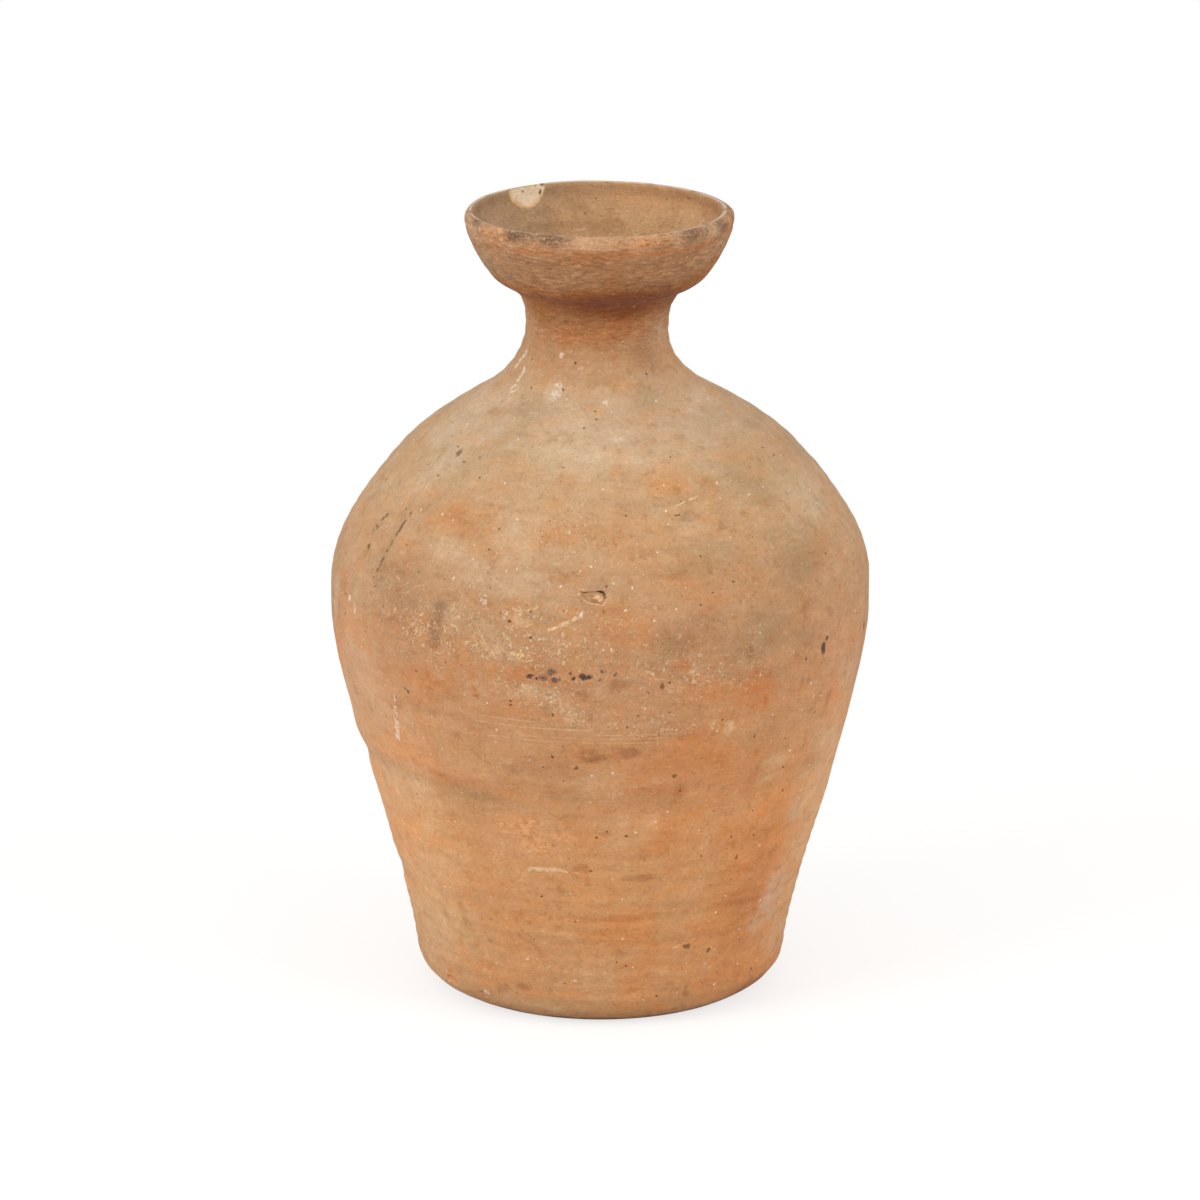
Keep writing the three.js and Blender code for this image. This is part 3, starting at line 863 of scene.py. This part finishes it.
brownMarks = [
    (-53.2, 288.3, 3.8, 3), (-48.5, 285.7, 2, 1.6), (-65, 240, 3, 4), (-5.3, 147.2, 2.4, 2.2),
    (17.2, 141.6, 2, 2.4), (14.3, 124.6, 1.6, 1.6), (34.5, 105.4, 2, 2), (26.3, 43, 3, 3),
    (34.1, 38.4, 2.4, 2), (-46.4, 178.2, 2.4, 2.4), (-45.7, 176.4, 2.2, 2.2), (12.8, 191, 2.8, 3.4),
    (-27.5, 350.5, 2.4, 1.4), (0.5, 228.9, 1.4, 1.8), (-2.2, 89.6, 2.4, 1.6), (37.6, 89.5, 2, 2.6)]
darkStreaks = strokes(wobbly, [
    ((-64.6, 258), (-66.6, 246), 4), ((-55.4, 261), (-56.6, 246), 2.2), ((-56.2, 248), (-57.6, 232), 2.2),
    ((20, 268.6), (23, 269.4), 1.0)])
faintMarks = [
    (27.8, 18.5, 3.6, 9), (-31.1, 18.3, 9, 5), (-24.6, 20.6, 7, 4), (3.8, 192.1, 9, 8),
    (24, 268, 12, 5), (-35.9, 224, 7, 9), (-36.6, 216, 9, 12), (-37.4, 208, 9, 9), (10.5, 85, 18, 4),
    (60, 166, 6, 8), (-2, 154, 14, 8), (-20, 145, 10, 5), (6.6, 155.9, 10, 6), (32.9, 203.3, 5, 6)]
rustMarks = [
    (-27, 182.4, 6, 3.4), (-27.6, 186, 5, 1.6), (34.6, 191.8, 3, 6), (62, 222, 2, 4), (8, 262, 2, 2),
    (-54.4, 19, 5, 3), (38.3, 207.2, 3, 3), (37.7, 176.2, 3, 5), (17.9, 201.6, 6, 6)]
body = coated(
    body,
    whiteMarks=whiteMarks * fade(noise(where, 2.0, 3, 0.7), 0.4, 0.54),
    bloom=bloom,
    black=blots(edgy, blackDots, 0.35) * fade(flecked, 0.74, 0.56),
    grey=blots(edgy, greyDots, 0.5) * fade(flecked, 0.68, 0.46),
    brown=blots(edgy, brownMarks, 0.4).most(darkStreaks * fade(noise(crumbly, 4, 3, 0.7), 0.42, 0.56)))
flaky = blots(edgy, [(-24, 111, 10, 10), (-19.1, 111, 12, 12), (-17.5, 104.8, 14, 10), (-14.9, 102, 10, 8),
                     (-8.8, 108, 12, 4), (-16, 116, 8, 4)], 0.6)
body = washed(
    body,
    faintMarks=blots(edgy, faintMarks, 0.4) * fade(mottle, 0.7, 0.46),
    rustMarks=blots(edgy, rustMarks, 0.6) * fade(flecked, 0.66, 0.48),
    flaky=flaky)

# long level scratches, drawn by height, as a straight stroke would run inside the round wall
levelScratches = [  # height, left and right end, slope up to the left, width
    (168.2, -58, -8, 0.016, 0.7), (163.6, -36, 28, 0.014, 0.6), (161.3, -52, 24, 0.012, 0.5),
    (165.8, 0, 34, 0.02, 0.45), (171.2, -56, -34, 0.02, 0.5)]
ending = 6  # mm over which each fades out
levelLines = []
for level, left, right, rise, width in levelScratches:
    offLine = (height * 1000 - level + sideways * (rise * 1000)) / width
    line = fade(offLine * offLine, 0.6, 0.1) * fade(sideways, (left - ending) * mm, left * mm)
    levelLines.append(line * fade(sideways, (right + ending) * mm, right * mm))
levelLines = reduce(Wire.most, levelLines) * fade(backwards, -0.05, -0.08)  # on the front alone
levelLines = levelLines * fade(noise(scaled(where, 1, 1, 3), 7, 3, 0.6), 0.4, 0.52)
scratches = [
    ((-10.9, 219.5), (-7.6, 222.6), 1.4), ((-8.2, 222), (-4.6, 226), 2.0),
    ((-13.5, 230.2), (-17, 224.5), 1.4), ((-19, 88.4), (-11, 89.6), 2.6),
    ((-11, 89.2), (-5.6, 87.7), 1.6), ((22, 43), (25, 46), 0.6), ((27.5, 46), (30.5, 48), 0.6),
    ((21, 272.6), (24, 274), 0.9), ((25.6, 274.4), (28.4, 275.6), 0.9), ((-34, 60), (-30, 71), 0.5)]
body = coated(
    body,
    flakes=flaky * fade(noise(crumbly, 3, 4, 0.7), 0.47, 0.54),
    levelLines=levelLines,
    scratches=strokes(wobbly, scratches) * fade(noise(crumbly, 4, 3, 0.7), 0.4, 0.52))

# painted shade darkening the lowest 16 mm towards the foot, then marks and dirt along the foot's edge
body = washed(
    body,
    footShade=fade(height + (blotch - 0.5) * 0.02, 0.016, 0.004),
    footMarks=blots(edgy, [(-47, 8, 16, 8), (27.6, 9, 3, 8), (58, 7, 30, 9)], 0.7))
body = coated(body, footDirt=fade(height + (noise(where, 9, 4, 0.7) - 0.5) * 0.012, 0.0045, 0.0005))

# the lip: peach and cream crumbs, sooty patches, a painted highlight along the inner edge, and an orange
# line below it
underLipHeight = 0.3908
outer = 1 - inside
crumbled = noise(crumbly, 1.8, 3, 0.7)
lipTop = fade(height, 0.3925, 0.395) * outer
lipPale = blots(edgy, [(-4, 396, 22, 9), (14, 396, 10, 8), (58, 396, 14, 9), (110, 396, 30, 9),
                       (-100, 396, 26, 9), (150, 396, 24, 9), (-165, 396, 22, 9)], 0.8)
lipPale = lipPale.most(fade(noise(edgy, 13, 4, 0.65), 0.5, 0.64) * 0.8)
lipWarm = blots(edgy, [(20, 394.5, 30, 9), (-30, 392.5, 30, 5), (8, 392, 40, 4), (-52, 395, 26, 9),
                       (72, 394, 16, 9), (120, 394, 60, 8), (-130, 394, 50, 8)], 0.9)
lipSoot = fade(lipSootPatch + ragged * 1.1, 0.15, 0.95) * fade(crumbled, 0.76, 0.42)
body = coated(body, lipPale=lipTop * lipPale)
body = washed(body, lipWarm=(lipTop * 0.6 + 0.4) * lipWarm * outer)
body = coated(body, lipSoot=lipTop * lipSoot)
body = washed(
    body,
    lipCrumbs=lipTop * fade(crumbled, 0.55, 0.66),
    lipPits=lipTop * fade(crumbled, 0.44, 0.33))
lineLevel = height - underLipHeight + (noise(where, 20, 2) - 0.5) * 0.002
underLip = fade(lineLevel * lineLevel, 0.0000022, 0) * outer
orangeLine = blots(edgy, [(18, 391, 42, 6), (-28, 391, 20, 5), (52, 391, 20, 5)], 0.6)
body = coated(body, underLip=underLip * (orangeLine * 0.46 + fade(noise(where, 18), 0.42, 0.6) * 0.2))
# a painted highlight along the lip's inner edge
rimEdge = fade(hollow, 0.5, 0.62) * fade(hollow, 0.9, 0.76) * fade(height, 0.3975, 0.3988)

# the hollow of the mouth is khaki and dustier, darkest under the lip at its left and back
mouthSide = sideways + (noise(drifting, 40, 3, 0.6) - 0.5) * 0.1
mouth = tint(paint(190, 154, 118), paint(206, 163, 119), fade(mouthSide, -0.045, 0.01))
mouth = washed(
    mouth,
    mouthRight=fade(mouthSide, 0.034, 0.058),
    mouthTop=fade(height + (mottle - 0.5) * 0.02, 0.389, 0.396),
    mouthDark=fade(blotch, 0.5, 0.38),
    mouthPale=fade(blotch, 0.54, 0.66),
    mouthMottlePale=fade(mottle, 0.52, 0.64),
    mouthMottleDark=fade(mottle, 0.46, 0.3),
    mouthPits=fade(flecked, 0.45, 0.33),
    mouthWarm=fade(height + (blotch - 0.5) * 0.02, 0.386, 0.393) * fade(mouthSide, 0, 0.03))
mouth = coated(
    mouth,
    mouthLime=limeDots.most(limeDust * 0.6).most(scraped * fade(height, 0.386, 0.374) * 0.5),
    mouthSpots=(pits * 0.6).most(pitDust * 0.6),
    mouthRust=rustDots)
body = tint(body, mouth, inside)
body = coated(body, rimEdge=rimEdge * fade(noise(where, 9, 3), 0.3, 0.5))

# where a piece broke off or was cut, the clay inside shows
flakeAngle = damage["flake"]["place"][0]


def breakRadiusAt(height):
    return innerRadius(height) + 1.5 * mm


def scarRadiusAt(height):
    return outerRadius(height) - 0.5 * mm


flakeArea = blots(stirred(where, 3, 1.2), [(flakeAngle, 399, 23, 25)], 0.06) * fade(hollow, 0.1, 0.3)
flakeCore = blots(stirred(where, 4, 3), [(flakeAngle - 1, 400, 21.5, 21)], 0.14, breakRadiusAt)
flakeSpots = [(flakeAngle - 8.6, 399.4, 3.6, 2.4), (flakeAngle - 7.4, 395, 2.6, 3)]
brokenClay = coated(
    paint(232, 182, 124),
    breakCore=flakeCore,
    breakGrains=fade(flecked, 0.54, 0.66),
    breakSpots=blots(edgy, flakeSpots, 0.4, breakRadiusAt).most(pits * 0.8))
body = tint(body, brokenClay, flakeArea)

scarRim = strokes(wobbly, [
    ((-4.9, 236.6), (-3.9, 234.4), 1.4), ((-3.9, 234.5), (-2.4, 232.7), 1.3),
    ((-2.4, 232.9), (-1.1, 232.2), 0.9), ((-1.2, 232.1), (0.3, 231.6), 1.0),
    ((0.2, 231.5), (1, 232.4), 0.9), ((0.9, 232.4), (1.4, 234.9), 0.8),
    ((-3.4, 236.4), (-2, 236.7), 1.2)], scarRadiusAt)
scarEdge = strokes(wobbly, [
    ((-4.4, 237.5), (-1, 237.4), 0.8), ((0.7, 237), (1.1, 234.8), 1.4)], scarRadiusAt)
scarCrack = strokes(wobbly, [((-1.6, 237.4), (0.8, 237.5), 1.3)])
body = washed(
    body,
    scarArea=blots(edgy, [(-1.7, 234.8, 13, 6.2)], 0.2) * fade(noise(crumbly, 3, 3, 0.7), 0.34, 0.5),
    aboveScar=blots(edgy, [(0.2, 240.2, 8, 4.6)], 0.9))
body = coated(body, scarRim=scarRim * fade(flecked, 0.62, 0.46))
body = washed(body, scarShade=blots(edgy, [(-0.9, 233.5, 4.4, 2.4)], 0.3, scarRadiusAt))
body = coated(
    body,
    scarLump=blots(edgy, [(-0.4, 235.9, 4.2, 2.2), (0.2, 235, 2.4, 2.0)], 0.3),
    scarEdge=scarEdge,
    scarCrack=scarCrack,
    chip=blots(edgy, [(-54.4, 14.6, 9, 4.4)], 0.25))

# sandy grain over everything
grain = noise(where, 1.7, 4, 0.75)
shadeOfGrain = lines * (1 + (grain - 0.5) * 0.55)
greyGrain = Wire.make("CombineColor", {0: shadeOfGrain, 1: shadeOfGrain, 2: shadeOfGrain})
body = tint(body, greyGrain, 1.0, "MULTIPLY")
relief = (grain - 0.5) * 0.5 + (combed - 0.5) * (0.15 + 0.8 * neckward) + (mottle - 0.5) * 0.5 - pits * 0.5
relief = relief + lipTop * (crumbled - 0.5) * 0.9 - scarCrack * 0.6 + cream * 0.3
shader = Wire.make("BsdfPrincipled", {
    "Base Color": body, "Roughness": 0.9 + (grain - 0.5) * 0.2 + 0.08 * neckward,
    "Normal": Wire.make("Bump", {"Height": relief, "Distance": mm, "Strength": 1.0}),
    "Specular IOR Level": 0.12, "Sheen Weight": 0.16, "Sheen Roughness": 0.5,
    "Sheen Tint": (1, 0.9, 0.76, 1)})
Wire.make("OutputMaterial", {"Surface": shader})

for name, piece in pieces.items():
    piece.data.materials.append(clay)
    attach(piece, "root")
    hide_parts(name)

print("stage: floor and light")
studio = {  # metres and watts; each lamp has its name, place, size and power
    "floorSize": 9, "floorDrop": 0.0002, "shadowFrom": 0.25, "shadowReach": 1.3, "floorGlow": 0.72,
    "floorGrey": (0.62, 0.62, 0.62, 1), "shadowGrey": (0.36, 0.35, 0.34, 1), "daylight": 0.58, "aim": 0.2,
    "lamps": [("keyLamp", (-2.5, -1.7, 1.5), 1.8, 53), ("fillLamp", (2.5, -1.5, 1.3), 1.8, 38),
              ("topLamp", (0, -0.2, 2.6), 2.2, 5)],
}
white = (1, 1, 1, 1)
bpy.ops.mesh.primitive_plane_add(size=studio["floorSize"], location=(0, 0, -studio["floorDrop"]))
floor = bpy.context.object
floor.name = "studioFloor"


def seenWhite(plain, bright):
    # what lights the jug stays plain, and the camera, a mirror or a glass sees white
    rays = Wire.make("LightPath")
    seen = rays.most(rays.output("Is Glossy Ray")).most(rays.output("Is Transmission Ray"))
    return Wire.make("MixShader", {0: seen, 1: plain, 2: bright})


floorPaint = startShader(bpy.data.materials.new("floorPaint"))
matt = Wire.make("BsdfDiffuse", {"Color": studio["floorGrey"]})
glow = Wire.make("Emission", {"Strength": studio["floorGlow"]})
caught = Wire.make("BsdfDiffuse", {"Color": studio["shadowGrey"]})
nearFloor = Wire.make("AddShader", {0: glow, 1: caught})
farFloor = Wire.make("Emission", {"Strength": 1.0})
away = vector("LENGTH", Wire.make("TexCoord").output("Object"), out=1)
distant = fade(away, studio["shadowFrom"], studio["shadowReach"])
shown = Wire.make("MixShader", {0: distant, 1: nearFloor, 2: farFloor})
Wire.make("OutputMaterial", {"Surface": seenWhite(matt, shown)})
floor.data.materials.append(floorPaint)

for name, lampPlace, size, watts in studio["lamps"]:
    lampData = bpy.data.lights.new(name, "AREA")
    lampData.shape = "RECTANGLE"
    lampData.size = lampData.size_y = size
    lampData.energy = watts
    lamp = placed(name, lampData)
    lamp.location = lampPlace
    aimAt(lamp, studio["aim"])

bpy.context.scene.world = startShader(bpy.data.worlds.new("studioWorld"))
daylight = Wire.make("Background", {"Color": white, "Strength": studio["daylight"]})
backdrop = Wire.make("Background", {"Color": white, "Strength": 1.0})
Wire.make("OutputWorld", {"Surface": seenWhite(daylight, backdrop)})
bpy.context.scene.view_settings.view_transform = "Standard"
